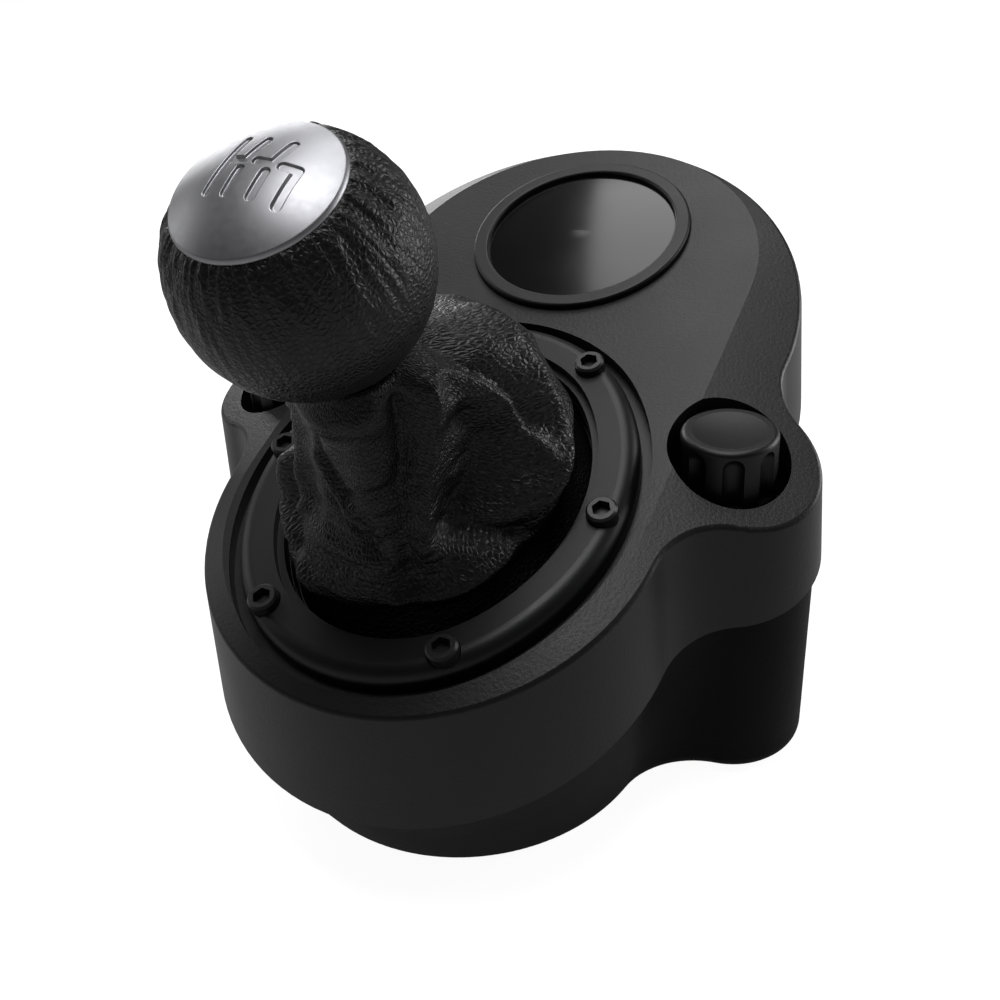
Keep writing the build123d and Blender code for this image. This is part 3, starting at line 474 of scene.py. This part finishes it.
# The sleeve bends at both gimbal axes and stretches with the push, so it is cut at two
# rows into three pieces that share their edges and their shading.
def boot_piece(name, rows):
    """The boot between two rows, cut from the whole sleeve with its shading kept."""
    piece = bmesh.new()
    piece.from_mesh(sleeve_mesh)
    row_mark = piece.verts.layers.int["row"]
    others = [f for f in piece.faces if not all(rows[0] <= v[row_mark] <= rows[1] for v in f.verts)]
    bmesh.ops.delete(piece, geom=others, context="FACES")
    piece.verts.layers.int.remove(row_mark)
    shading = [v.normal.copy() for v in piece.verts]
    mesh = bpy.data.meshes.new(name)
    piece.to_mesh(mesh)
    piece.free()
    mesh.normals_split_custom_set_from_vertices(shading)
    mesh.materials.append(boot_leather)
    made = bpy.data.objects.new(name, mesh)
    scene.collection.objects.link(made)
    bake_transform(made)
    return made


low_cut = 40
high_cut = 68
boot_low = boot_piece("boot_low", (0, low_cut))
boot_piece("boot_middle", (low_cut, high_cut))
boot_piece("boot_high", (high_cut, boot_rows))
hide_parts("boot")


# Knob leather: a disc of the same hide shrunk over the ball, gathered in radial pleats
# under the plate and in short level folds where it is drawn in at the neck. Its veins are
# drawn raised, where the boot's are sunken.
knob_centre = 89.0
knob_r = 21.6
plate_rim_r = 14.0
knob_neck_r = 9.0
leather_sunk = 0.1
pleat_start = 1.2
pleat_swell = 1.12
pleat_fade = 13.0
pleat_level = 0.3
crimp_swell = 0.42
crimp_fade = 16.0
gather_swell = 0.7
gather_fade = 8.0
rim_tuck = 0.45
rim_tuck_fade = 0.7
neck_tuck = 0.6
neck_tuck_fade = 0.8
stick_back = Vector((0, cos(lean), sin(lean)))
ball = pivot + stick_up * knob_centre


def knob_spot(turn, share):
    """A point of the knob's leather, in metres, from the plate's rim at share 0 to the neck at 1."""
    outward = deck_side * cos(turn) + stick_back * sin(turn)
    rim = outward * plate_rim_r + stick_up * sqrt(knob_r ** 2 - plate_rim_r ** 2)
    neck = outward * knob_neck_r - stick_up * sqrt(knob_r ** 2 - knob_neck_r ** 2)
    spread = rim.angle(neck)
    at = spread * share
    out = (rim * sin(spread - at) + neck * sin(at)) / sin(spread) / knob_r
    from_rim = at * knob_r
    from_neck = (spread - at) * knob_r
    begun = 1 - exp(-from_rim / pleat_start)
    pleats = pleat_swell * (pleat_level - abs(ripple(turn, from_rim, rounds=8, per_mm=0.09)))
    crimps = crimp_swell * ripple(turn, from_rim, rounds=17, per_mm=0.2)
    gathers = gather_swell * ripple(turn, from_neck, rounds=2.4, per_mm=0.8)
    swell = begun * (pleats * exp(-from_rim / pleat_fade) + crimps * exp(-from_rim / crimp_fade))
    swell += gathers * exp(-from_neck / gather_fade)
    tuck = rim_tuck * exp(-from_rim / rim_tuck_fade) + neck_tuck * exp(-from_neck / neck_tuck_fade)
    return (ball + out * (knob_r - leather_sunk + swell - tuck)) / 1000


knob_leather = hide("knob_full_grain_leather", "#0D0D0D", patch_mm=52, pebble_mm=1, rough=0.34, bump=0.5,
                    veins_raised=True)
knob_skin = round_skin("knob_skin", 384, 128, knob_spot, (2.6, 0.85), knob_leather)
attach(knob_skin, "stick")
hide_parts("knob_leather")


# Gear plate: a domed disc of nickel-plated steel, pressed into the leather's rim square to
# the stick, with the gates stamped into it as shallow round-ended slots. Its satin finish
# spreads the lamps into a soft glow.
plate_rim_high = 16.7
plate_dome = 3.5
plate_edge = 0.35
plate_lip_in = 0.6
plate_lip_deep = 1.6
dome_share = 0.94
slot_half_wide = 0.62
slot_deep = 0.42
slot_wall = 0.22
# Slots as two ends, across and up the plate from its middle
slots = [
    ((-4.0, 6.8), (-5.0, -4.2)), ((-4.4, 2.1), (-1.3, 2.1)), ((-0.2, 6.8), (-1.3, 2.1)),
    ((-1.2, 0.2), (-1.4, -4.3)), ((0.8, 2.1), (3.5, 2.0)), ((4.4, 6.6), (3.5, 2.0)),
    ((3.2, 0.2), (3.0, -4.4)), ((5.2, 1.8), (7.8, 1.7)), ((7.8, 1.7), (7.4, -5.0)),
]


def slot_depth(x, y):
    """How deep the stamped slots are at a place on the plate, with sloping walls."""
    near = []
    for (x_a, y_a), (x_b, y_b) in slots:
        dx, dy = x_b - x_a, y_b - y_a
        k = min(max(((x - x_a) * dx + (y - y_a) * dy) / (dx * dx + dy * dy), 0), 1)
        near.append(hypot(x - x_a - k * dx, y - y_a - k * dy))
    return slot_deep * min(max((slot_half_wide + slot_wall - min(near)) / slot_wall, 0), 1)


def plate_spot(turn, share):
    """A point of the plate, in metres: across the dome, over its edge and in under the rim."""
    dome_r = (plate_rim_r ** 2 + plate_dome ** 2) / (2 * plate_dome)
    out = min(share / dome_share, 1) * plate_rim_r
    dome_high = plate_rim_high + plate_dome - dome_r + sqrt(dome_r ** 2 - out ** 2)
    high = dome_high - slot_depth(out * cos(turn), out * sin(turn))
    past = max(share - dome_share, 0) / (1 - dome_share)
    out += plate_edge * sin(past * pi) - plate_lip_in * max(past - 0.5, 0)
    high -= plate_lip_deep * past
    return (ball + deck_side * out * cos(turn) + stick_back * out * sin(turn) + stick_up * high) / 1000


satin_nickel = turned("satin_nickel_plate", "#A2A2A6", rough=0.42)
gear_plate = round_skin("gear_plate", 480, 160, plate_spot, (1, 1), satin_nickel)
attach(gear_plate, "stick")
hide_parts("knob_plate")
